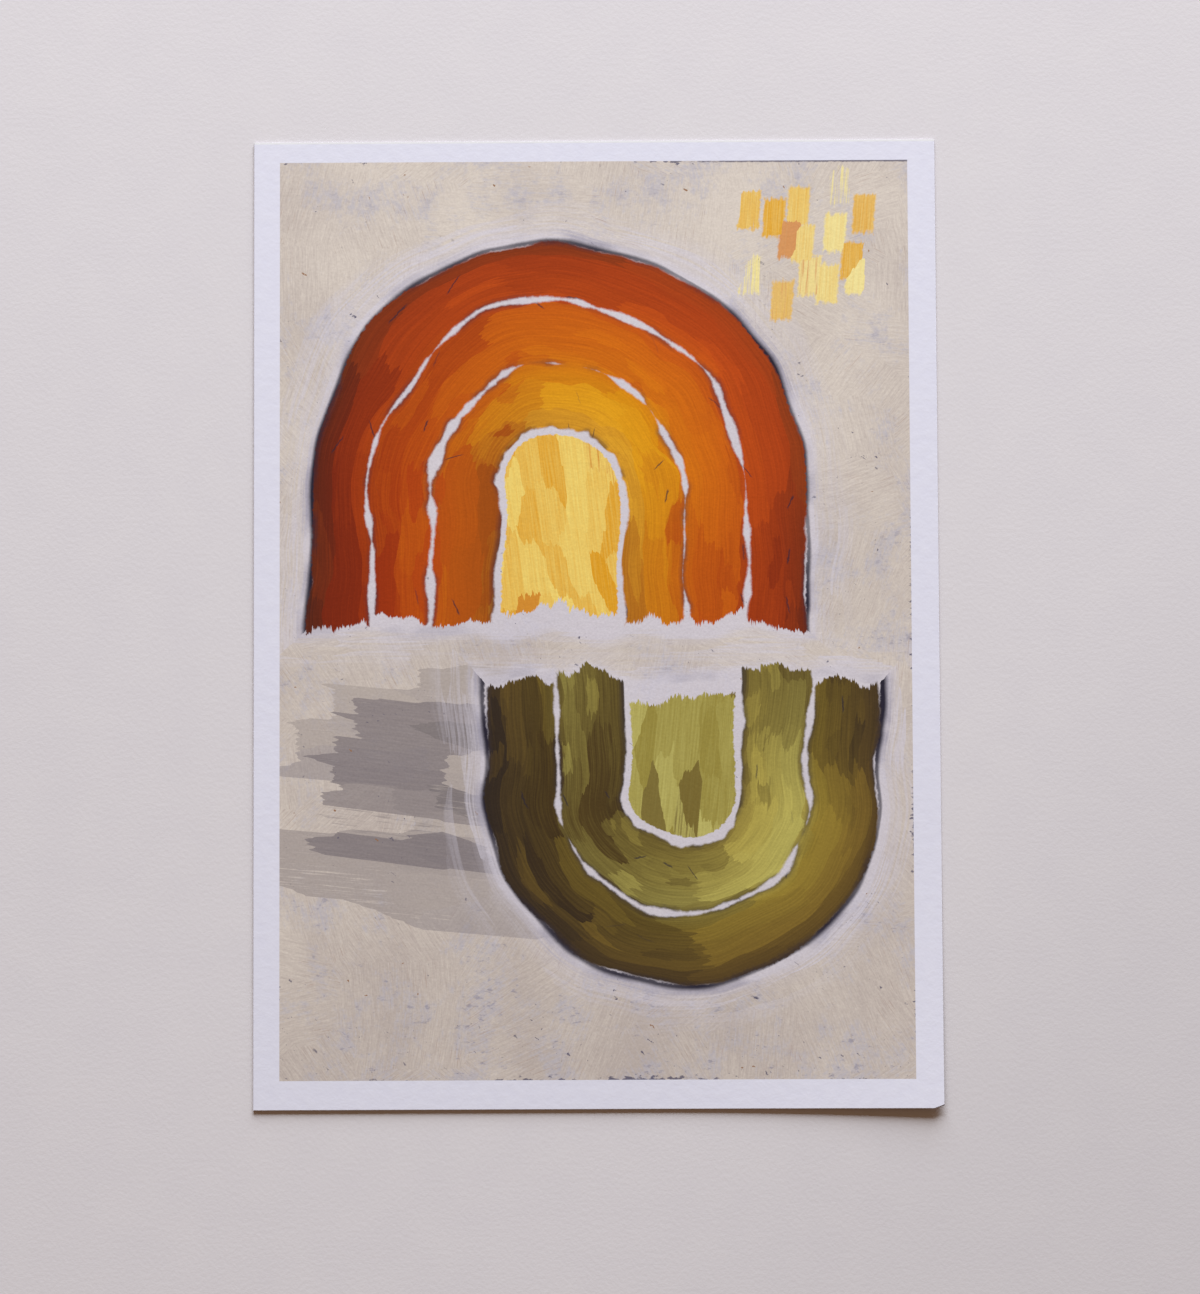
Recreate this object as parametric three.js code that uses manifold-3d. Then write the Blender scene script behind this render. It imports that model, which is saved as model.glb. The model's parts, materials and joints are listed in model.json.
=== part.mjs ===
// A small art print: one sheet of heavy matte paper that lies face up, with its picture printed on
// the upper face inside a white border. The sheet lies flat, apart from its lower right corner,
// which curls up a little and has lost the sharpness of its tip.
//
// Millimetres. The origin is on the underside at the middle of the sheet. +X runs along the short
// side to the right, +Y along the long side to the top of the picture, and +Z out of the printed face.

import * as THREE from 'three';
import * as BufferGeometryUtils from 'three/addons/utils/BufferGeometryUtils.js';
import Module from 'manifold-3d';

const wasm = await Module();
wasm.setup();

const sheet = {
  width: 148.5,
  height: 210,
  thickness: 0.45,
  colour: 0xe6e5ee,
  roughness: 0.9,
};

const cornerCurl = {
  fromCorner: 65, // where the curl begins, measured from the corner along the bottom edge
  heading: -Math.PI / 4, // the way in which the sheet rises, turned from +X
  lift: 0.75, // height of the underside at the corner
  facets: 16,
};

const bluntTip = {
  alongBottom: 2.4,
  alongSide: 0.9,
};

const spare = 5; // how far a cutting body runs past what it cuts

// The curl is part of a cylinder that touches the surface along one straight line. The corner lies
// cornerReach past that line, so the radius follows from its lift.
const cornerReach = cornerCurl.fromCorner * Math.cos(cornerCurl.heading);
const curlRadius = (cornerReach ** 2 + cornerCurl.lift ** 2) / (2 * cornerCurl.lift);

// Turns a closed three.js geometry into a solid that can be cut.
function solidFrom(geometry) {
  const bare = geometry.clone();
  bare.deleteAttribute('normal');
  bare.deleteAttribute('uv');
  const welded = BufferGeometryUtils.mergeVertices(bare);
  return new wasm.Manifold(new wasm.Mesh({
    numProp: 3,
    vertProperties: new Float32Array(welded.attributes.position.array),
    triVerts: new Uint32Array(welded.index.array),
  }));
}

// Turns a solid back into a three.js geometry.
function geometryFrom(solid) {
  const mesh = solid.getMesh();
  const geometry = new THREE.BufferGeometry();
  geometry.setAttribute('position', new THREE.BufferAttribute(new Float32Array(mesh.vertProperties), 3));
  geometry.setIndex(new THREE.BufferAttribute(new Uint32Array(mesh.triVerts), 1));
  geometry.computeVertexNormals();
  return geometry;
}

// The sheet's outline as a tall prism: a rectangle whose lower right tip is cut off at a slant.
function outlinePrism() {
  const right = sheet.width / 2;
  const top = sheet.height / 2;
  const outline = new THREE.Shape();
  outline.moveTo(-right, -top);
  outline.lineTo(right - bluntTip.alongBottom, -top);
  outline.lineTo(right, -top + bluntTip.alongSide);
  outline.lineTo(right, top);
  outline.lineTo(-right, top);
  outline.closePath();
  const depth = cornerCurl.lift + sheet.thickness + 2 * spare;
  const prism = new THREE.ExtrudeGeometry(outline, { depth, bevelEnabled: false });
  prism.translate(0, 0, -spare);
  return prism;
}

// The paper seen edge on, along the line where the curl begins: flat, then rising on the cylinder.
// It is extruded along that line, further than the sheet reaches.
function curledBand() {
  const reach = Math.hypot(sheet.width, sheet.height) + spare;
  const down = -Math.PI / 2;
  const end = down + (cornerReach + spare) / curlRadius;
  const section = new THREE.Shape();
  section.moveTo(-reach, 0);
  section.lineTo(0, 0);
  section.absarc(0, curlRadius, curlRadius, down, end, false);
  section.absarc(0, curlRadius, curlRadius - sheet.thickness, end, down, true);
  section.lineTo(-reach, sheet.thickness);
  section.closePath();
  const band = new THREE.ExtrudeGeometry(section, {
    depth: 2 * reach,
    bevelEnabled: false,
    curveSegments: cornerCurl.facets,
  });
  band.translate(0, 0, -reach);

  const rising = new THREE.Vector3(Math.cos(cornerCurl.heading), Math.sin(cornerCurl.heading), 0);
  const up = new THREE.Vector3(0, 0, 1);
  const alongLine = new THREE.Vector3().crossVectors(rising, up);
  const place = new THREE.Matrix4().makeBasis(rising, up, alongLine);
  place.setPosition(sheet.width / 2 - cornerCurl.fromCorner, -sheet.height / 2, 0);
  return band.applyMatrix4(place);
}

function printSheet() {
  const solid = solidFrom(curledBand()).intersect(solidFrom(outlinePrism()));
  const material = new THREE.MeshStandardMaterial({
    color: sheet.colour,
    roughness: sheet.roughness,
    metalness: 0,
  });
  const mesh = new THREE.Mesh(geometryFrom(solid), material);
  mesh.name = 'print_sheet';
  return mesh;
}

const artPrint = new THREE.Group();
artPrint.add(printSheet());

export default artPrint;
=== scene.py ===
# A small art print on heavy matte paper, lying face up, with its lower right corner curling.
# The frame is in metres. The picture is laid out in millimetres from the middle of the printed panel.
import json
import math

import bmesh
import bpy
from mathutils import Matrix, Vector


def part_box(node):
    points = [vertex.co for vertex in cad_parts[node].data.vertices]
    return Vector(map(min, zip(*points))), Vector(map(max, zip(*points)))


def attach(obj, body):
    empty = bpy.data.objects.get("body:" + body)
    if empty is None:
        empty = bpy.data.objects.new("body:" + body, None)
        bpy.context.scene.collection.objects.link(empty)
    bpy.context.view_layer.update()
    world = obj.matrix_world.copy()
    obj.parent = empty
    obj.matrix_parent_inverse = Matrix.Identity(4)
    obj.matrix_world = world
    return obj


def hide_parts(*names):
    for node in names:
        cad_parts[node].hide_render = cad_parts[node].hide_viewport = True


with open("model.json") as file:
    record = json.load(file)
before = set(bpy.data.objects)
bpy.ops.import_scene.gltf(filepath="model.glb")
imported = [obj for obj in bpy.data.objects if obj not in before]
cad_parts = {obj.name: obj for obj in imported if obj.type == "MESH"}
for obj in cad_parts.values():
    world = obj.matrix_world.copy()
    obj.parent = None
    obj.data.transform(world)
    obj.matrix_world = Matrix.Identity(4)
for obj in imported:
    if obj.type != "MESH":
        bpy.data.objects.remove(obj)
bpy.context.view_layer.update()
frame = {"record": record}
sheetLow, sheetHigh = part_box("print_sheet")
mounts = {mount["name"]: mount for mount in frame["record"]["mounts"]}
print("frame loaded")

millimetre = 0.001
sheetWidth = sheetHigh.x - sheetLow.x
sheetHeight = sheetHigh.y - sheetLow.y
thickness = mounts["front"]["pos_m"][2] - mounts["back"]["pos_m"][2]


class Wire:  # a socket in a shader, which ordinary sums can be written with
    def __init__(self, shader, socket):
        self.shader = shader
        self.socket = socket

    def also(self, name):  # another output of the same node
        return Wire(self.shader, self.socket.node.outputs[name])

    def swing(self, amount):  # a noise or a dice, from 0 to 1, as a swing about nought
        return (self - 0.5) * amount

    def between(self, low, high):  # the same, from low to high
        return self * (high - low) + low

    def __add__(self, other):
        return self.shader.sum("ADD", self, other)

    def __sub__(self, other):
        return self.shader.sum("SUBTRACT", self, other)

    def __rsub__(self, other):
        return self.shader.sum("SUBTRACT", other, self)

    def __mul__(self, other):
        return self.shader.sum("MULTIPLY", self, other)

    def __truediv__(self, other):
        return self.shader.sum("DIVIDE", self, other)

    def __neg__(self):
        return self.shader.sum("MULTIPLY", self, -1)

    __radd__ = __add__
    __rmul__ = __mul__


class Shader:  # one material and the ways of adding nodes to it
    def __init__(self, name):
        self.material = bpy.data.materials.new(name)
        self.material.use_nodes = True
        self.tree = self.material.node_tree
        self.surface = self.tree.nodes["Principled BSDF"].inputs

    def feed(self, socket, value):
        if isinstance(value, Wire):
            self.tree.links.new(value.socket, socket)
        else:
            socket.default_value = value

    def node(self, kind, settings=(), sockets=(), output=0):
        made = self.tree.nodes.new(kind)
        for name, value in dict(settings).items():
            if name == "stops":
                setStops(made.color_ramp, value)
            else:
                setattr(made, name, value)
        for name, value in dict(sockets).items():
            self.feed(made.inputs[name], value)
        return Wire(self, made.outputs[output])

    def sum(self, operation, *values):
        return self.node("ShaderNodeMath", {"operation": operation}, enumerate(values))

    def least(self, first, second):
        return self.sum("MINIMUM", first, second)

    def most(self, first, second):
        return self.sum("MAXIMUM", first, second)

    def size(self, value):
        return self.sum("ABSOLUTE", value)

    def step(self, value, start, end):  # rises softly from 0 to 1 as the value goes from start to end
        return self.node(
            "ShaderNodeMapRange",
            {"interpolation_type": "SMOOTHSTEP"},
            {"Value": value, "From Min": start, "From Max": end},
        )

    def vector(self, x, y, z=0.0):
        return self.node("ShaderNodeCombineXYZ", (), {"X": x, "Y": y, "Z": z})

    def parts(self, vector):
        split = self.node("ShaderNodeSeparateXYZ", (), {0: vector})
        return split, split.also("Y"), split.also("Z")

    def blend(self, amount, under, over, mode="MIX"):
        return self.node(
            "ShaderNodeMix",
            {"data_type": "RGBA", "blend_type": mode, "clamp_factor": True},
            {0: amount, 6: under, 7: over},
            output=2,
        )

    def shade(self, colour, factor):  # the colour, made darker or brighter
        return self.blend(1.0, colour, self.vector(factor, factor, factor), "MULTIPLY")

    def ramp(self, value, stops):
        return self.node("ShaderNodeValToRGB", {"stops": stops}, {"Fac": value})

    def noise(self, x, y, width, height, seed=0.0, own=0.0, detail=2.0, roughness=0.5):
        seed = seed + own  # a look's own seed, and that of the shape it is used on
        place = self.vector(x / width + seed, y / height - seed)
        return self.node(
            "ShaderNodeTexNoise",
            {"noise_dimensions": "2D"},
            {"Vector": place, "Scale": 1.0, "Detail": detail, "Roughness": roughness},
        )

    def cells(self, x, y, size, seed, looseness=0.85, distance="CHEBYCHEV"):
        # the distance to the nearest cell's centre, that centre, and three dice of the cell's own
        width, height = size
        place = self.vector(x / width + seed, y / height + seed)
        spot = self.node(
            "ShaderNodeTexVoronoi",
            {"voronoi_dimensions": "2D", "distance": distance},
            {"Vector": place, "Scale": 1.0, "Randomness": looseness},
        )
        centreX, centreY, _ = self.parts(spot.also("Position"))
        return spot, (centreX - seed) * width, (centreY - seed) * height, self.parts(spot.also("Color"))

    def relief(self, height):  # a bump whose height is in metres
        bump = self.node("ShaderNodeBump", (), {"Height": height, "Strength": 1.0, "Distance": 1.0})
        self.feed(self.surface["Normal"], bump)


def setStops(ramp, stops):
    while len(ramp.elements) < len(stops):
        ramp.elements.new(1.0)
    for element, (position, colour) in zip(ramp.elements, stops):
        element.position = position
        element.color = colour


def halfway(first, second):
    return first * 0.5 + second * 0.5


def millimetres(shader):  # a point's place on the piece
    place = shader.node("ShaderNodeTexCoord").also("Object")
    return [part * (1 / millimetre) for part in shader.parts(place)]


daylight = 0.87  # how bright pure white is where the sheet lies


def seen(colour):  # a colour as the camera saw it, 0 to 255, as the surface's own
    straight = [((value / 255 + 0.055) / 1.055) ** 2.4 / daylight for value in colour]
    return (*straight, 1.0)


def grey(value):
    return (value, value, value, 1.0)


# The sheet

sheet = {
    "columns": 37,
    "rows": 52,
    "curlFromCorner": 65 * millimetre,  # along the bottom edge
    "curlHeading": math.radians(-45),
    "curlLift": 0.75 * millimetre,
    "tipAlongBottom": 2.4 * millimetre,
    "tipAlongSide": 0.9 * millimetre,
    "tipLean": 0.28 * millimetre,  # how far the lower plies stand out at the blunt tip
    "tipWorn": 0.3 * millimetre,  # how much of the lower plies is gone at the very tip
    "tipWornReach": 8 * millimetre,
    "tipFineReach": 6 * millimetre,  # round the tip the mesh is finer
    "tipFineCuts": 3,
    "rims": {  # width and drop, in millimetres
        "top": (0.45, 0.007),
        "bottom": (0.12, 0.1),
        "left": (0.2, 0.1),
        "right": (0.2, 0.1),
    },
    "rimSteps": 3,
    "sharpFrom": math.radians(15),
}

tipCorner = Vector((sheetHigh.x, sheetLow.y, 0))
tipLow = Vector((tipCorner.x - sheet["tipAlongBottom"], tipCorner.y, 0))
tipHigh = Vector((tipCorner.x, tipCorner.y + sheet["tipAlongSide"], 0))
tipOut = (tipHigh - tipLow).cross(Vector((0, 0, 1))).normalized()
touching = 0.001 * millimetre  # how close to the tip's cut a vertex counts as on it
lyingFlat = 0.5  # from this much of its normal, up or down, a face is the printed side or the back


def curlHeight(x, y):
    reach = sheet["curlFromCorner"] * math.cos(sheet["curlHeading"])
    radius = (reach ** 2 + sheet["curlLift"] ** 2) / (2 * sheet["curlLift"])
    heading = Vector((math.cos(sheet["curlHeading"]), math.sin(sheet["curlHeading"])))
    start = Vector((sheetHigh.x - sheet["curlFromCorner"], sheetLow.y))
    beyond = max(0.0, heading.dot(Vector((x, y)) - start))
    return radius - math.sqrt(radius ** 2 - beyond ** 2)


def cutAcross(mesh, point, normal, discard=False):
    bmesh.ops.bisect_plane(
        mesh,
        geom=mesh.verts[:] + mesh.edges[:] + mesh.faces[:],
        plane_co=point,
        plane_no=normal,
        clear_outer=discard,
    )


def rimEdges():  # for each edge a point on it, the way out of the sheet, and its rim's width and drop
    sides = (
        ("top", (0, sheetHigh.y, 0), (0, 1, 0)),
        ("bottom", (0, sheetLow.y, 0), (0, -1, 0)),
        ("left", (sheetLow.x, 0, 0), (-1, 0, 0)),
        ("right", (sheetHigh.x, 0, 0), (1, 0, 0)),
    )
    for name, point, out in sides:
        width, drop = sheet["rims"][name]
        yield Vector(point), Vector(out), width * millimetre, drop * millimetre


def flatSheet():  # with no thickness yet, and cut fine where its rims and its tip take shape
    mesh = bmesh.new()
    bmesh.ops.create_grid(mesh, x_segments=sheet["columns"], y_segments=sheet["rows"], size=0.5)
    bmesh.ops.scale(mesh, vec=(sheetWidth, sheetHeight, 1), verts=mesh.verts)
    reach = sheet["tipFineReach"]
    near = {vert for vert in mesh.verts if (vert.co - tipCorner).length < reach}
    close = [edge for edge in mesh.edges if near.intersection(edge.verts)]
    bmesh.ops.subdivide_edges(mesh, edges=close, cuts=sheet["tipFineCuts"], use_grid_fill=True)
    cutAcross(mesh, tipLow, tipOut, discard=True)
    for point, out, width, _ in rimEdges():
        for part in range(1, sheet["rimSteps"] + 2):  # the last cut keeps the rim's shading to itself
            cutAcross(mesh, point - out * width * part / sheet["rimSteps"], out)
    return mesh


# Where each side of the sheet lies on the map that its colours are kept on, whose own sides are 1
# long. The printed side has the whole height, because it carries the picture.
mapPlan = {
    "margin": 0.0075,
    "printedHeight": 0.985,
    "backAt": (0.72, 0.01),
    "backWidth": 0.27,
    "edgesAt": (0.73, 0.42),  # the five edges are strips beside each other
    "edgeApart": 0.05,
    "edgeWide": 0.016,
    "edgeLong": 0.565,
}


def layOut(mesh):  # gives each face of the still flat sheet its material and its place on the map
    place = mesh.loops.layers.uv.new("OFBake")
    printedScale = mapPlan["printedHeight"] / sheetHeight
    backScale = mapPlan["backWidth"] / sheetWidth
    edgeScale = mapPlan["edgeLong"] / sheetHeight
    margin = mapPlan["margin"]
    backLeft, backLow = mapPlan["backAt"]
    edgesLeft, edgesLow = mapPlan["edgesAt"]
    edges = [out for _, out, _, _ in rimEdges()] + [tipOut]
    for face in mesh.faces:
        printed = face.normal.z > lyingFlat
        face.material_index = 0 if printed else 1  # the printed face's material, or the bare stock's
        closest = max(range(len(edges)), key=lambda edge: face.normal.dot(edges[edge]))
        upright = abs(edges[closest].x) > abs(edges[closest].y)
        for loop in face.loops:
            x = loop.vert.co.x - sheetLow.x
            y = loop.vert.co.y - sheetLow.y
            if printed:
                spot = (margin + x * printedScale, margin + y * printedScale)
            elif face.normal.z < -lyingFlat:
                spot = (backLeft + x * backScale, backLow + y * backScale)
            else:
                along = y if upright else x
                across = loop.vert.co.z / thickness * mapPlan["edgeWide"]
                spot = (edgesLeft + closest * mapPlan["edgeApart"] + across, edgesLow + along * edgeScale)
            loop[place].uv = spot


def pressRims(verts):  # lowers the upper face a little along its edges
    for vert in verts:
        lowered = 0.0
        for point, out, width, drop in rimEdges():
            inward = min(1.0, max(0.0, out.dot(point - vert.co) / width))
            lowered = max(lowered, drop * (1 - math.sqrt(1 - (1 - inward) ** 2)))
        vert.co.z -= lowered


def wearTip(verts):  # thins the sheet from below at its blunt tip, whose cut leans outwards
    for vert in verts:
        near = max(0.0, 1 - (vert.co.xy - tipCorner.xy).length / sheet["tipWornReach"])
        vert.co.z += sheet["tipWorn"] * near
        if abs(tipOut.dot(vert.co - tipLow)) < touching:
            vert.co += tipOut * sheet["tipLean"] * (vert.co.x - tipLow.x) / sheet["tipAlongBottom"]


def makeSheetMesh():
    mesh = flatSheet()
    lower = mesh.verts[:]
    made = bmesh.ops.extrude_face_region(mesh, geom=mesh.faces[:], use_keep_orig=True)
    upper = [item for item in made["geom"] if isinstance(item, bmesh.types.BMVert)]
    bmesh.ops.translate(mesh, vec=(0, 0, thickness), verts=upper)
    bmesh.ops.recalc_face_normals(mesh, faces=mesh.faces)
    layOut(mesh)
    pressRims(upper)
    wearTip(lower)
    for vert in mesh.verts:
        vert.co.z += curlHeight(vert.co.x, vert.co.y)
    for face in mesh.faces:
        face.smooth = True
    return mesh


def makeSheet(face, stock):
    mesh = makeSheetMesh()
    data = bpy.data.meshes.new("printedSheet")
    mesh.to_mesh(data)
    mesh.free()
    data.materials.append(face)
    data.materials.append(stock)
    piece = bpy.data.objects.new("printedSheet", data)
    bpy.context.scene.collection.objects.link(piece)
    data.set_sharp_from_angle(angle=sheet["sharpFrom"])
    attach(piece, "root")
    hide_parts("print_sheet")
    print("sheet made:", len(data.polygons), "faces")


# The paper. Here and below, sizes are in millimetres, a pair after the name of an edge or of a
# place says where it starts and where it is complete, and dict(width, height) is a noise's look.

paper = {
    "bright": (223, 222, 232),
    "dull": (218, 217, 229),
    "tooth": dict(width=0.62, height=0.62, seed=3.1, roughness=0.6),
    "toothDepth": 0.01,
    "felt": dict(width=2.4, height=1.92, seed=8.7, detail=1.0),
    "feltDepth": 0.013,
    "rim": (224, 223, 223),  # the paper along the top edge, pressed flat; its colour, less blue, is a painted toning down of the highlight there
    "rimPlace": (0.5, 0.3),  # inwards from the edge
    "rimPressed": 0.8,  # how much of its relief is gone
    # the bare cut is greyer than the face; its dark mauve is also painted shade, the tone of a cut in
    # shadow
    "cut": (144, 132, 142),
    "cutPale": (172, 163, 173),
    "cutPlace": (0.02, 0.08),  # upwards from the back
    "plies": dict(width=1.4, height=0.07, seed=5.2),
    "topCutShade": (120, 112, 117),  # painted shade: the cut along the top edge, which faces the window, made darker to tone down its light
    "topCutPlace": (0.3, 0.05),  # inwards from the edge
    "roughness": (0.86, 0.96),
    "shine": 0.25,
}


def fromTop(y):
    return sheetHeight / millimetre / 2 - y


def addTooth(shader, x, y, pressed):  # pressed is how much of the relief is gone, from 0 to 1
    tooth = shader.noise(x, y, **paper["tooth"])
    felt = shader.noise(x, y, **paper["felt"])
    height = tooth.swing(paper["toothDepth"]) + felt.swing(paper["feltDepth"])
    shader.relief(height * ((1 - pressed) * millimetre))
    return tooth, felt


def makeStock():
    shader = Shader("bareStock")
    x, y, z = millimetres(shader)
    tooth, felt = addTooth(shader, x, y, 0.0)
    plain = shader.blend(felt, seen(paper["dull"]), seen(paper["bright"]))
    plies = shader.noise(x + y, z, **paper["plies"])
    # the cut's tone: greyer stock, partly painted shade
    cut = shader.blend(plies, seen(paper["cut"]), seen(paper["cutPale"]))
    # painted shade on the cut along the top edge, which faces the window
    atTop = shader.step(fromTop(y), *paper["topCutPlace"])
    cut = shader.blend(atTop, cut, seen(paper["topCutShade"]))
    onCut = shader.step(z, *paper["cutPlace"])
    shader.feed(shader.surface["Base Color"], shader.blend(onCut, plain, cut))
    shader.feed(shader.surface["Roughness"], tooth.between(*paper["roughness"]))
    shader.surface["Specular IOR Level"].default_value = paper["shine"]
    return shader.material


# The picture, printed inside the border

panel = {
    "borders": {"left": 5.66, "right": 5.97, "top": 4.49, "bottom": 6.30},
    "edge": (-0.06, 0.06),
    "fine": dict(width=1.1, height=1.1, seed=1.9, roughness=0.6),  # how uneven the paint's edges are
    "hand": dict(width=26, height=26, detail=1.0),  # how the hand that drew the shapes swayed
    "handSeeds": (6.2, 16.2),  # across and up
    "handSway": 5,
    "lowPlace": (-82, -97),  # the ground's lower part, which has more wash and specks
    "mottle": dict(width=0.5, height=0.5, seed=33.3, detail=1.0),
    "mottleDepth": 0.16,
    "smoother": 0.12,  # how much less rough the ink is than the paper
    "shine": 0.1,  # of the printed side
}

inks = {
    "cream": (214, 203, 190),
    "dullCream": (188, 176, 167),
    "scuff": (182, 178, 186),
    "scratch": (168, 140, 124),
    "speck": (72, 70, 96),
    "rust": (150, 112, 84),
    "halo": (209, 204, 213),
    "bruise": (132, 128, 146),
    "outline": (40, 36, 50),
}

# An arch is a dome, or a bowl that faces down. Its bands of long strokes go round its centre,
# between two radii, and its two legs carry them straight on.
warmArch = {
    "centre": (-8, 28),
    "facing": 1,  # up, or down for -1
    "radii": (14, 54),
    "bands": 3,
    "legs": (30, 30),
    "seed": 2.3,
    "dab": (24, 5.2),  # length and width
    "bright": [  # from the inner radius to the outer
        (0.0, (216, 158, 44)), (0.16, (222, 156, 24)), (0.3, (214, 140, 14)), (0.36, (212, 118, 14)),
        (0.5, (208, 108, 14)), (0.64, (200, 92, 16)), (0.7, (192, 78, 18)), (0.88, (180, 68, 18)),
        (1.0, (150, 62, 20)),
    ],
    "dark": [
        (0.0, (150, 74, 16)), (0.2, (180, 84, 14)), (0.34, (180, 72, 14)), (0.5, (164, 56, 12)),
        (0.68, (140, 44, 12)), (0.86, (120, 38, 14)), (1.0, (78, 34, 20)),
    ],
    "light": [  # how bright the strokes are, along them
        (-85, 0.05), (-50, 0.12), (-15, 0.5), (22, 0.95), (48, 0.85), (68, 0.45), (85, 0.25),
    ],
}

oliveArch = {
    "centre": (19, -37),
    "facing": -1,
    "radii": (12, 43),
    "bands": 2,
    "legs": (24, 24),
    "seed": 7.9,
    "dab": (17, 4.4),
    "bright": [
        (0.0, (140, 122, 56)), (0.16, (176, 160, 76)), (0.44, (186, 176, 92)), (0.56, (150, 128, 50)),
        (0.84, (128, 102, 42)), (1.0, (92, 70, 34)),
    ],
    "dark": [(0.0, (70, 54, 28)), (0.4, (84, 66, 30)), (0.6, (66, 50, 26)), (1.0, (50, 40, 32))],
    "light": [(-67, 0.3), (-38, 0.05), (-10, 0.3), (16, 0.8), (36, 0.95), (52, 0.5), (67, 0.25)],
}

# A patch is made of straight dabs.
warmCore = {
    "upright": True,  # or else they run sideways
    "shorter": 8,  # than the bands round it
    "dab": (13, 4.8),
    "tilt": 0.12,  # how far they slope, for each millimetre along
    "tones": ((220, 156, 34), (238, 210, 112)),
    "accent": (204, 122, 24),  # and the share of the dabs that have it
    "accentShare": 0.12,
    "seed": 3.7,
    "combAlong": 3.5,  # how ragged the bristles leave their ends
}

oliveCore = {
    "upright": True,
    "shorter": 0,
    "dab": (15, 4.2),
    "tilt": -0.1,
    "tones": ((150, 136, 62), (190, 182, 104)),
    "accent": (112, 94, 44),
    "accentShare": 0.15,
    "seed": 4.9,
    "combAlong": 3.5,
}

greyUnder = {
    "upright": False,
    "box": (-58, -14, -74, -16),  # along the dabs from and to, and across them
    "dab": (26, 7.5),
    "tilt": 0.09,
    "tones": ((164, 154, 150), (178, 167, 158)),
    "accent": (140, 132, 136),
    "accentShare": 0.2,
    "seed": 5.5,
    "combAlong": 3,
    "thin": 0.45,  # how much of what is under it shows
}

greyOver = {
    "upright": False,
    "box": (-52, -24, -62, -24),
    "dab": (22, 5.0),
    "tilt": 0.13,
    "tones": ((118, 110, 114), (148, 138, 136)),
    "accent": (86, 80, 88),
    "accentShare": 0.16,
    "seed": 15.5,
    "combAlong": 3,
    "thin": 0.35,
}

paleDabs = {
    "upright": True,
    "separate": True,  # with gaps between its dabs
    "box": (66, 94, 27, 53),
    "dab": (10.0, 5.6),
    "tilt": -0.08,
    "tones": ((222, 164, 44), (240, 224, 146)),
    "accent": (204, 112, 24),
    "accentShare": 0.16,
    "seed": 9.4,
    "combAlong": 1.5,
    "thin": 0.12,
}


# The bands of an arch are painted along them. A point's place is how far along the strokes it
# lies, from their middle, and its radius.

strokes = {
    "comb": dict(width=0.6, height=30, seed=4, detail=1.0),  # the marks of single bristles
    "combAlong": 4,
    "drift": dict(width=14, height=9),
    "driftAlong": 8,
    "driftAcross": 4,
    "streak": dict(width=15, height=0.36, seed=2, detail=3.0, roughness=0.6),
    "streakTone": 0.3,
    "streakShade": (0.86, 1.14),
    "dabTone": 0.3,
    "smallDab": (0.4, 0.5),  # length and width, as shares of a dab's
    "smallSeed": 9,
    "smallPicked": (0.74, 0.78),
    "smallTone": 0.5,
    "edge": (-0.15, 0.25),
    "edgeUneven": 0.9,
}

strokeEnds = {  # how far each of these moves the strokes' ends
    "uneven": dict(width=1.3, height=1.7, seed=5, detail=0.0),  # one band against the next
    "unevenReach": 13,
    "slant": dict(width=15, height=15, seed=6, detail=0.0),
    "slantReach": 4,
    "torn": dict(width=3.2, height=9, seed=15, detail=3.0, roughness=0.6),
    "tornReach": 4.5,
    "combReach": 0.6,
    "streakReach": 2.5,
}

ticks = {  # short dark scratches in the paint
    "apart": (13, 9),
    "seed": 21,
    "picked": (0.5, 0.8),
    "lean": 2,
    "uneven": 0.6,
    "halfWidth": (0.26, 0.08),
    "halfLength": (1.9, 1.0),
    "strength": 0.7,
}

gaps = {  # the bare ground between two bands
    "sway": dict(width=13, height=30, seed=6),
    "swayReach": 3.4,
    "uneven": 0.5,
    "edge": (0.1, 0.75),
    "shadow": (1.7, 0.2),
    "shadowDrift": (0.4, 0.6),
    "shadowStrength": 0.6,
}

cores = {  # the filled middle of an arch
    "gap": 1,
    "edge": (-0.12, 0.2),
}


def middleRadius(arch):
    return sum(arch["radii"]) / 2


def quarterTurn(arch):  # along the middle of the strokes
    return middleRadius(arch) * math.pi / 2


def bandWidth(arch):
    inner, outer = arch["radii"]
    return (outer - inner) / arch["bands"]


def archPlace(shader, x, y, arch, sway):
    across = x - arch["centre"][0] + sway[0]
    up = (y - arch["centre"][1] + sway[1]) * arch["facing"]
    over = shader.most(up, 0.0)
    radius = shader.sum("SQRT", across * across + over * over)
    angle = shader.sum("ARCTAN2", across, over)
    leg = shader.most(-up, 0.0) * shader.sum("SIGN", across)
    return angle * middleRadius(arch) + leg, radius


def archEnds(shader, along, radius, arch):  # how far inside its torn ends and its smooth ends a point lies
    own = arch["seed"]
    first, last = arch["legs"]
    band = shader.sum("FLOOR", (radius - arch["radii"][0]) / bandWidth(arch))
    band = shader.most(band, -1.0)
    uneven = shader.noise(band, band, own=own, **strokeEnds["uneven"])
    slant = shader.noise(radius, radius, own=own, **strokeEnds["slant"])
    torn = shader.noise(radius, along, own=own, **strokeEnds["torn"])
    comb = shader.noise(radius, along, own=own, **strokes["comb"])
    streak = shader.noise(along, radius, own=own, **strokes["streak"])
    smooth = shader.least(along + (first + quarterTurn(arch)), (last + quarterTurn(arch)) - along)
    smooth = smooth + slant.swing(strokeEnds["slantReach"])
    ends = smooth + uneven.swing(strokeEnds["unevenReach"]) + torn.swing(strokeEnds["tornReach"])
    ends = ends + comb.swing(strokeEnds["combReach"]) + streak.swing(strokeEnds["streakReach"])
    return ends, smooth


def paletteRamp(shader, value, stops):
    return shader.ramp(value, [(position, seen(colour)) for position, colour in stops])


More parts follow.
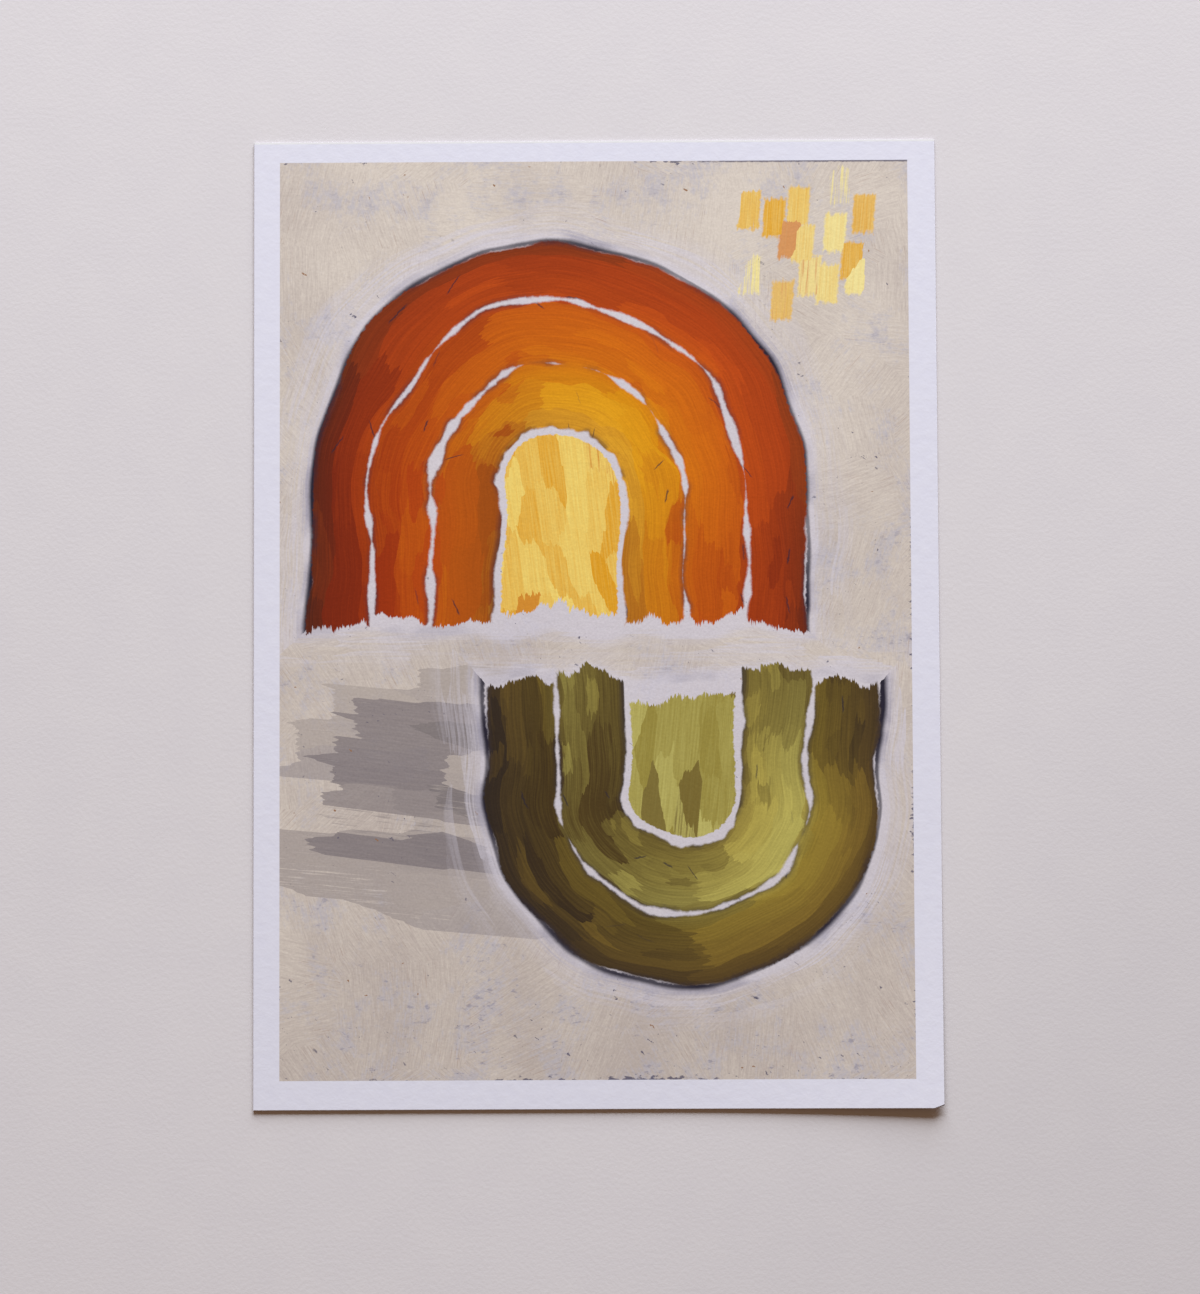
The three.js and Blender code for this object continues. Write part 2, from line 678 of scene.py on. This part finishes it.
def strokeTone(shader, along, radius, drift, arch):  # the paint's colour, dab by dab
    own = arch["seed"]
    comb = shader.noise(radius, along, own=own, **strokes["comb"])
    streak = shader.noise(along, radius, own=own, **strokes["streak"])
    strokeX = along + comb.swing(strokes["combAlong"]) + drift.swing(strokes["driftAlong"])
    strokeY = radius + drift.swing(strokes["driftAcross"])
    _, cellAlong, cellRadius, dice = shader.cells(strokeX, strokeY, arch["dab"], own)
    smallDab = [side * share for side, share in zip(arch["dab"], strokes["smallDab"])]
    _, _, _, smallDice = shader.cells(strokeX, strokeY, smallDab, own + strokes["smallSeed"])
    small = shader.step(smallDice[0], *strokes["smallPicked"])

    start, end = arch["light"][0][0], arch["light"][-1][0]
    lit = shader.ramp(
        (halfway(cellAlong, along) - start) / (end - start),
        [((place - start) / (end - start), grey(value)) for place, value in arch["light"]],
    )
    lit = lit + dice[0].swing(strokes["dabTone"]) + streak.swing(strokes["streakTone"])
    lit = lit + small * smallDice[1].swing(strokes["smallTone"])
    inner, outer = arch["radii"]
    place = (halfway(cellRadius, radius) - inner) / (outer - inner)
    dark = paletteRamp(shader, place, arch["dark"])
    bright = paletteRamp(shader, place, arch["bright"])
    return shader.shade(shader.blend(lit, dark, bright), streak.between(*strokes["streakShade"]))


def addTicks(shader, paint, along, radius, arch, fine):
    seed = arch["seed"] + ticks["seed"]
    _, tickAlong, tickRadius, dice = shader.cells(along, radius, ticks["apart"], seed, looseness=1.0)
    fromTick = along - tickAlong
    leaning = fromTick * dice[0].swing(ticks["lean"])
    aside = shader.size(radius - tickRadius + leaning + fine.swing(ticks["uneven"]))
    tick = shader.step(aside, *ticks["halfWidth"])
    tick = tick * shader.step(shader.size(fromTick), *ticks["halfLength"])
    picked = shader.step(dice[1], *ticks["picked"])
    return shader.blend(tick * picked * ticks["strength"], paint, seen(inks["outline"]))


def bandGap(shader, along, radius, arch, fine):  # how far a point lies from the nearest gap
    width = bandWidth(arch)
    band = shader.sum("FRACT", (radius - arch["radii"][0]) / width)
    sway = shader.noise(along, radius, own=arch["seed"], **gaps["sway"])
    gap = shader.least(band, 1 - band) * width + fine.swing(gaps["uneven"])
    return gap + sway.swing(gaps["swayReach"])


def paintArch(shader, under, along, radius, side, ends, arch, fine):
    drift = shader.noise(along, radius, own=arch["seed"], **strokes["drift"])
    paint = strokeTone(shader, along, radius, drift, arch)
    paint = addTicks(shader, paint, along, radius, arch, fine)
    gap = bandGap(shader, along, radius, arch, fine)
    shadow = shader.step(shader.least(gap, side), *gaps["shadow"])
    shadow = shadow * shader.step(drift, *gaps["shadowDrift"])
    paint = shader.blend(shadow * gaps["shadowStrength"], paint, seen(inks["outline"]))
    cover = shader.step(shader.least(side, ends), *strokes["edge"]) * shader.step(gap, *gaps["edge"])
    return shader.blend(cover, under, paint)


# The ground, brushed in all directions

ground = {
    "patch": (19, 15),  # within one the brush went one way
    "patchSeed": 0.7,
    "turn": 3.0,  # radians at most
    "brushed": dict(width=7, height=0.5, seed=1.3, detail=3.0, roughness=0.6),
    "brushedTone": 1.1,
    "fibre": dict(width=2.2, height=0.24, seed=21.5, roughness=0.6),
    "fibreTone": 0.9,
    "cloud": dict(width=24, height=30, seed=4.4, detail=3.0),
    "cloudTone": 1.3,
    "middleTone": 0.5,
    "higherTone": 0.0022,  # for each millimetre up
    "grime": dict(width=13, height=16, seed=10.4, detail=4.0, roughness=0.65),
    "grimeShare": 0.7,  # of a scuff, beside the brush marks
    "scuffUneven": 0.22,
    "scuffLow": 0.06,
    "scuffed": (0.5, 0.7),
    "scuffStrength": 0.7,
    "hair": dict(width=7, height=0.2, seed=6.6, detail=1.0),
    "haired": (0.67, 0.78),
    "hairPatch": dict(width=15, height=15, seed=2.2),
    "hairPatched": (0.45, 0.6),
    "hairStrength": 0.5,
    "worn": dict(width=2.6, height=1.1, seed=30.3, detail=3.0, roughness=0.7),
    "wornGrime": 0.9,
    "wornLow": 0.06,
    "smudged": (0.69, 0.85),
    "smudgeStrength": 0.36,
    "smudgeHigher": 0.0018,  # less for each millimetre up
}


def paintGround(shader, x, y, fine):
    _, _, _, dice = shader.cells(x, y, ground["patch"], ground["patchSeed"], looseness=1.0)
    turned = shader.node(
        "ShaderNodeVectorRotate",
        {"rotation_type": "Z_AXIS"},
        {"Vector": shader.vector(x, y), "Angle": dice[0] * ground["turn"]},
    )
    strokeX, strokeY, _ = shader.parts(turned)
    brushed = shader.noise(strokeX, strokeY, **ground["brushed"])
    fibre = shader.noise(strokeX, strokeY, **ground["fibre"])
    cloud = shader.noise(x, y, **ground["cloud"])
    pale = cloud.swing(ground["cloudTone"]) + brushed.swing(ground["brushedTone"])
    pale = pale + fibre.swing(ground["fibreTone"]) + y * ground["higherTone"] + ground["middleTone"]
    paint = shader.blend(pale, seen(inks["dullCream"]), seen(inks["cream"]))

    low = shader.step(y, *panel["lowPlace"])
    grime = shader.noise(x, y, **ground["grime"])
    scuff = grime * ground["grimeShare"] + brushed * (1 - ground["grimeShare"])
    scuff = scuff + fine.swing(ground["scuffUneven"]) + low * ground["scuffLow"]
    scuff = shader.step(scuff, *ground["scuffed"])
    paint = shader.blend(scuff * ground["scuffStrength"], paint, seen(inks["scuff"]))

    hair = shader.step(shader.noise(strokeX, strokeY, **ground["hair"]), *ground["haired"])
    hair = hair * shader.step(shader.noise(x, y, **ground["hairPatch"]), *ground["hairPatched"])
    paint = shader.blend(hair * ground["hairStrength"], paint, seen(inks["scratch"]))

    worn = shader.noise(x, y, **ground["worn"])
    worn = worn + grime.swing(ground["wornGrime"]) + low * ground["wornLow"]
    smudge = shader.step(worn, *ground["smudged"])
    strength = ground["smudgeStrength"] - y * ground["smudgeHigher"]
    return shader.blend(smudge * strength, paint, seen(inks["bruise"]))


# The pale halo round an arch, brushed along it, and the dark line between them

halo = {
    "seed": 11,
    "comb": dict(width=0.7, height=25, detail=1.0),
    "combAlong": 5,
    "dab": (17, 3.4),
    "streak": dict(width=15, height=0.55, seed=1, detail=3.0, roughness=0.6),
    "reach": (9, 2),
    "reachUneven": 8,
    "strength": (0.2, 0.8),
    "streaked": (0.3, 0.6),
    "close": (3.4, 0.8),  # the part that covers well
    "closeUneven": 4,
    "closeStrength": 0.75,
    "outside": (-0.9, -0.4),
    "weight": dict(width=15, height=13, seed=2),  # how hard the line was pressed
    "smear": (3.0, 0.4),
    "smearUneven": 3.4,
    "smearWeight": (0.42, 0.62),
    "smearStrength": 0.6,
    "smearEnds": 0.35,  # how much weaker it is past the strokes' ends
    "lineWidth": 2.6,
    "lineLess": 0.4,
    "lineUneven": 0.8,
    "lineFull": -0.1,
    "lineStrength": 0.4,
}


def paintHalo(shader, paint, x, y, along, radius, side, ends, arch, fine):
    own = arch["seed"] + halo["seed"]
    away = -shader.least(side, ends)
    atEnd = shader.sum("LESS_THAN", ends, side)
    run = x * atEnd + along * (1 - atEnd)
    across = y * atEnd + radius * (1 - atEnd)
    comb = shader.noise(across, run, own=own, **halo["comb"])
    _, _, _, dice = shader.cells(run + comb.swing(halo["combAlong"]), across, halo["dab"], own)
    streak = shader.noise(run, across, own=own, **halo["streak"])
    wide = shader.step(away + dice[0].swing(halo["reachUneven"]), *halo["reach"])
    wide = wide * dice[1].between(*halo["strength"]) * shader.step(streak, *halo["streaked"])
    close = shader.step(away + streak.swing(halo["closeUneven"]), *halo["close"]) * halo["closeStrength"]
    paint = shader.blend(shader.most(wide, close), paint, seen(inks["halo"]))

    outside = shader.step(away, *halo["outside"])
    weight = shader.noise(run, across, own=own, **halo["weight"])
    smear = shader.step(away + streak.swing(halo["smearUneven"]), *halo["smear"])
    smear = smear * shader.step(weight, *halo["smearWeight"]) * outside
    smear = smear * (halo["smearStrength"] - atEnd * halo["smearEnds"])
    paint = shader.blend(smear, paint, seen(inks["bruise"]))

    start = weight * halo["lineWidth"] - halo["lineLess"]
    line = shader.step(away + fine.swing(halo["lineUneven"]), start, halo["lineFull"])
    line = line * outside * (halo["lineStrength"] + weight) * (1 - atEnd)
    return shader.blend(line, paint, seen(inks["outline"]))


# A patch of straight dabs

dabs = {
    "comb": dict(width=0.7, height=40, seed=1, detail=1.0),
    "streak": dict(width=12, height=0.42, seed=2, detail=3.0, roughness=0.6),
    "boxUneven": 4,
    "boxStreaky": 3,
    "boxEdge": (0.0, 0.9),
    "ownEdge": (0.47, 0.37),  # of a dab that lies apart from the others, as a share of its size
    "ownUneven": 0.16,
    "thinFrom": 0.12,
    "thinFull": (0.2, 0.42),  # and how much later for thin paint
    "toneStreaky": 0.9,
    "accentStreaky": 0.1,
    "accentEdge": 0.04,
    "accentStrength": 0.8,
}


def paintPatch(shader, under, x, y, fine, patch, cover=1.0):
    along, across = (y, x) if patch["upright"] else (x, y)
    across = across + along * patch["tilt"]
    own = patch["seed"]
    comb = shader.noise(across, along, own=own, **dabs["comb"])
    streak = shader.noise(along, across, own=own, **dabs["streak"])
    combed = along + comb.swing(patch["combAlong"])
    spot, cellAlong, cellAcross, dice = shader.cells(combed, across, patch["dab"], own)
    if "box" in patch:
        low, high, near, far = patch["box"]
        insideAlong = shader.least(cellAlong - low, high - cellAlong)
        insideAcross = shader.least(cellAcross - near, far - cellAcross)
        inside = shader.least(insideAlong, insideAcross)
        inside = inside + dice[2].swing(dabs["boxUneven"]) + streak.swing(dabs["boxStreaky"])
        cover = cover * shader.step(inside, *dabs["boxEdge"])
    if "separate" in patch:
        cover = cover * shader.step(spot + fine.swing(dabs["ownUneven"]), *dabs["ownEdge"])
    if "thin" in patch:
        full, more = dabs["thinFull"]
        dry = shader.step(streak, dabs["thinFrom"], more * patch["thin"] + full)
        cover = cover * (1 - patch["thin"] * dice[1]) * dry
    first, second = patch["tones"]
    tone = shader.blend(dice[0] + streak.swing(dabs["toneStreaky"]), seen(first), seen(second))
    start = 1 - patch["accentShare"]
    accented = shader.step(dice[1] + streak.swing(dabs["accentStreaky"]), start, start + dabs["accentEdge"])
    tone = shader.blend(accented * dabs["accentStrength"], tone, seen(patch["accent"]))
    return shader.blend(cover, under, tone)


# Specks, and the dark marks along the picture's edges

specks = {
    "crowd": dict(width=12, height=14, seed=12.1, detail=4.0, roughness=0.65),
    "crowded": (0.5, 0.74),
    "crowdLow": 0.45,
    "bend": dict(width=2.1, height=2.1, seed=40.7),
    "bendReach": 3,
    "bendDown": 0.6,
    "uneven": 0.8,
    "kinds": (
        {"apart": 1.1, "seed": 8.8, "share": 0.2},
        {"apart": 2.7, "seed": 18.4, "share": 0.22},
    ),
    "picked": (0.985, 1.01),
    "radius": (0.06, 0.18),  # the smallest and the largest, as shares of how far they are apart
    "fullRadius": 0.03,
    "strength": (0.5, 1.0),
    "rustPicked": (0.985, 0.99),
    "rustRadius": (0.1, 0.05),
}

edgeMarks = {
    "sideways": 1.6,  # how much faster the marks end inwards from the right edge
    "ragged": dict(width=1.9, height=0.9, seed=14.0, detail=3.0, roughness=0.6),
    "stretch": dict(width=22, height=40, seed=17.7, detail=1.0),
    "stretchDepth": 0.9,
    "inwardLess": 0.2,
    "lowMore": 0.07,
    "marked": (0.6, 0.7),
    "line": (0.5, 0.15),
    "lineUneven": 0.4,
    "linePlace": (12, 30),
    "lineRagged": 50,
    "strength": 0.8,
}


def paintSpecks(shader, under, x, y, fine):
    crowd = shader.step(shader.noise(x, y, **specks["crowd"]), *specks["crowded"])
    crowd = shader.most(crowd, shader.step(y, *panel["lowPlace"]) * specks["crowdLow"])
    bent = shader.noise(x, y, **specks["bend"]).swing(specks["bendReach"])
    bentX = x + bent + fine.swing(specks["uneven"])
    bentY = y - bent * specks["bendDown"] - fine.swing(specks["uneven"])
    for kind in specks["kinds"]:
        size = (kind["apart"], kind["apart"])
        spot, _, _, dice = shader.cells(
            bentX, bentY, size, kind["seed"], looseness=1.0, distance="EUCLIDEAN"
        )
        picked = shader.step(dice[0] + crowd * kind["share"], *specks["picked"])
        mark = picked * shader.step(spot, dice[1].between(*specks["radius"]), specks["fullRadius"])
        mark = mark * dice[2].between(*specks["strength"])
        under = shader.blend(mark, under, seen(inks["speck"]))
    rusty = shader.step(dice[2], *specks["rustPicked"]) * shader.step(spot, *specks["rustRadius"])
    return shader.blend(rusty, under, seen(inks["rust"]))


def paintEdgeMarks(shader, under, x, y, halfWidth, halfHeight, fine):
    inward = shader.least(halfHeight - shader.size(y), (halfWidth - x) * edgeMarks["sideways"])
    ragged = shader.noise(x, y, **edgeMarks["ragged"])
    stretch = shader.noise(x, y, **edgeMarks["stretch"])
    low = shader.step(y, *panel["lowPlace"])
    edging = ragged + stretch.swing(edgeMarks["stretchDepth"])
    edging = edging - inward * edgeMarks["inwardLess"] + low * edgeMarks["lowMore"]
    edging = shader.step(edging, *edgeMarks["marked"])
    topLine = shader.step(halfHeight - y + fine.swing(edgeMarks["lineUneven"]), *edgeMarks["line"])
    topLine = topLine * shader.step(x + ragged.swing(edgeMarks["lineRagged"]), *edgeMarks["linePlace"])
    return shader.blend(shader.most(edging, topLine) * edgeMarks["strength"], under, seen(inks["speck"]))


def paintPicture(shader, x, y, halfWidth, halfHeight):
    fine = shader.noise(x, y, **panel["fine"])
    hands = [shader.noise(x, y, seed=seed, **panel["hand"]) for seed in panel["handSeeds"]]
    sway = [hand.swing(panel["handSway"]) for hand in hands]
    picture = paintGround(shader, x, y, fine)
    picture = paintPatch(shader, picture, x, y, fine, greyUnder)
    picture = paintPatch(shader, picture, x, y, fine, greyOver)
    shapes = []
    for arch, core in ((warmArch, warmCore), (oliveArch, oliveCore)):
        along, radius = archPlace(shader, x, y, arch, sway)
        ends, smoothEnds = archEnds(shader, along, radius, arch)
        side = arch["radii"][1] - radius + fine.swing(strokes["edgeUneven"])
        picture = paintHalo(shader, picture, x, y, along, radius, side, smoothEnds, arch, fine)
        shapes.append((arch, core, along, radius, side, ends))
    picture = paintSpecks(shader, picture, x, y, fine)
    for arch, core, along, radius, side, ends in shapes:
        inner = arch["radii"][0]
        ring = shader.least(side, radius - inner)
        picture = paintArch(shader, picture, along, radius, ring, ends, arch, fine)
        middle = inner - cores["gap"] - radius + fine.swing(strokes["edgeUneven"])
        middle = shader.least(middle, ends - core["shorter"])
        picture = paintPatch(shader, picture, x, y, fine, core, shader.step(middle, *cores["edge"]))
    picture = paintPatch(shader, picture, x, y, fine, paleDabs)
    picture = paintEdgeMarks(shader, picture, x, y, halfWidth, halfHeight, fine)
    mottle = shader.noise(x, y, **panel["mottle"])
    return shader.shade(picture, 1 + mottle.swing(panel["mottleDepth"]))


def makePrintedFace():
    shader = Shader("printedFace")
    x, y, _ = millimetres(shader)
    onRim = shader.step(fromTop(y), *paper["rimPlace"])
    tooth, felt = addTooth(shader, x, y, onRim * paper["rimPressed"])
    plain = shader.blend(felt, seen(paper["dull"]), seen(paper["bright"]))
    # painted toning down of the highlight along the top edge, where the paper is also pressed
    plain = shader.blend(onRim, plain, seen(paper["rim"]))

    border = panel["borders"]
    halfWidth = (sheetWidth / millimetre - border["left"] - border["right"]) / 2
    halfHeight = (sheetHeight / millimetre - border["top"] - border["bottom"]) / 2
    panelX = x - (border["left"] - border["right"]) / 2
    panelY = y - (border["bottom"] - border["top"]) / 2
    inside = shader.least(halfWidth - shader.size(panelX), halfHeight - shader.size(panelY))
    onPanel = shader.step(inside, *panel["edge"])
    picture = paintPicture(shader, panelX, panelY, halfWidth, halfHeight)
    shader.feed(shader.surface["Base Color"], shader.blend(onPanel, plain, picture))
    rough = tooth.between(*paper["roughness"]) - onPanel * panel["smoother"]
    shader.feed(shader.surface["Roughness"], rough)
    shader.surface["Specular IOR Level"].default_value = panel["shine"]
    print("picture painted:", len(shader.tree.nodes), "nodes")
    return shader.material


# The table, which only stages the part. It is painted darker towards the lower right and the right, as
# painted shade

table = {
    "side": 34.0,  # metres
    "pale": (218, 213, 213),
    "dull": (212, 207, 209),
    "grain": dict(width=0.9, height=0.9, seed=2.5, detail=3.0, roughness=0.6),
    "grainDepth": 0.018,
    "cloud": dict(width=9, height=9, seed=7.5),
    "cloudShare": 0.6,  # of the tone, beside the grain
    # painted shade: how much darker the table is painted towards the lower right and the right
    "lowRightDarker": 0.05,
    "lowRightPlace": (90, 190),  # from the middle, towards the lower right
    "lowRightSlant": 0.8,
    "rightDarker": 0.02,
    "rightPlace": (60, 130),
    "roughness": 0.9,
    "shine": 0.2,
}


def makeBoard():
    shader = Shader("tableBoard")
    x, y, _ = millimetres(shader)
    grain = shader.noise(x, y, **table["grain"])
    cloud = shader.noise(x, y, **table["cloud"])
    tone = cloud * table["cloudShare"] + grain * (1 - table["cloudShare"])
    board = shader.blend(tone, seen(table["dull"]), seen(table["pale"]))
    lowRight = shader.step(x - y * table["lowRightSlant"], *table["lowRightPlace"])
    right = shader.step(x, *table["rightPlace"])
    # painted shade, darker towards the lower right and the right
    paintedShade = 1 - lowRight * table["lowRightDarker"] - right * table["rightDarker"]
    shader.feed(shader.surface["Base Color"], shader.shade(board, paintedShade))
    shader.surface["Roughness"].default_value = table["roughness"]
    shader.surface["Specular IOR Level"].default_value = table["shine"]
    shader.relief(grain * (table["grainDepth"] * millimetre))
    return shader.material


def makeTable():
    mesh = bmesh.new()
    bmesh.ops.create_grid(mesh, x_segments=1, y_segments=1, size=table["side"] / 2)
    data = bpy.data.meshes.new("table")
    mesh.to_mesh(data)
    mesh.free()
    data.materials.append(makeBoard())
    top = bpy.data.objects.new("table", data)
    bpy.context.scene.collection.objects.link(top)
    print("table laid")


# The light: one window beyond the sheet's top edge, and a warm room. Metres, and watts for the window.

light = {
    "windowAway": 2.45,
    "windowCentre": 0.22,
    "windowWidth": 2.35,
    "windowLow": 0.2,
    "windowHigh": 1.34,
    "windowPower": 208.5,
    "windowTint": (0.90, 0.965, 1.045),
    "roomTint": (1.0, 0.62, 0.38),
    "roomPower": 0.162,
}


def makeLights():
    window = bpy.data.lights.new("window", "AREA")
    window.shape = "RECTANGLE"
    window.size = light["windowWidth"]
    window.size_y = light["windowHigh"] - light["windowLow"]
    window.energy = light["windowPower"]
    window.color = light["windowTint"]
    holder = bpy.data.objects.new("window", window)
    middle = (light["windowHigh"] + light["windowLow"]) / 2
    holder.location = (light["windowCentre"], light["windowAway"], middle)
    holder.rotation_euler = (math.radians(-90), 0, 0)
    bpy.context.scene.collection.objects.link(holder)
    room = bpy.data.worlds.new("room")
    room.use_nodes = True
    background = room.node_tree.nodes["Background"]
    background.inputs["Color"].default_value = (*light["roomTint"], 1.0)
    background.inputs["Strength"].default_value = light["roomPower"]
    bpy.context.scene.world = room
    print("lights set")


camera = {
    "position": (0.0025, -0.0281, 0.5447),
    "tilt": math.radians(2.37),
    "pan": math.radians(0.19),
    "roll": math.radians(-0.26),
    "lens": 70,
    "nearest": 0.01,
}


def makeCamera():
    lens = bpy.data.cameras.new("camera")
    lens.lens = camera["lens"]
    lens.clip_start = camera["nearest"]
    holder = bpy.data.objects.new("camera", lens)
    holder.location = camera["position"]
    holder.rotation_euler = (camera["tilt"], camera["pan"], camera["roll"])
    bpy.context.scene.collection.objects.link(holder)
    bpy.context.scene.camera = holder


makeCamera()
makeTable()
makeLights()
makeSheet(makePrintedFace(), makeStock())
bpy.context.scene.view_settings.view_transform = "Standard"
print("scene ready")
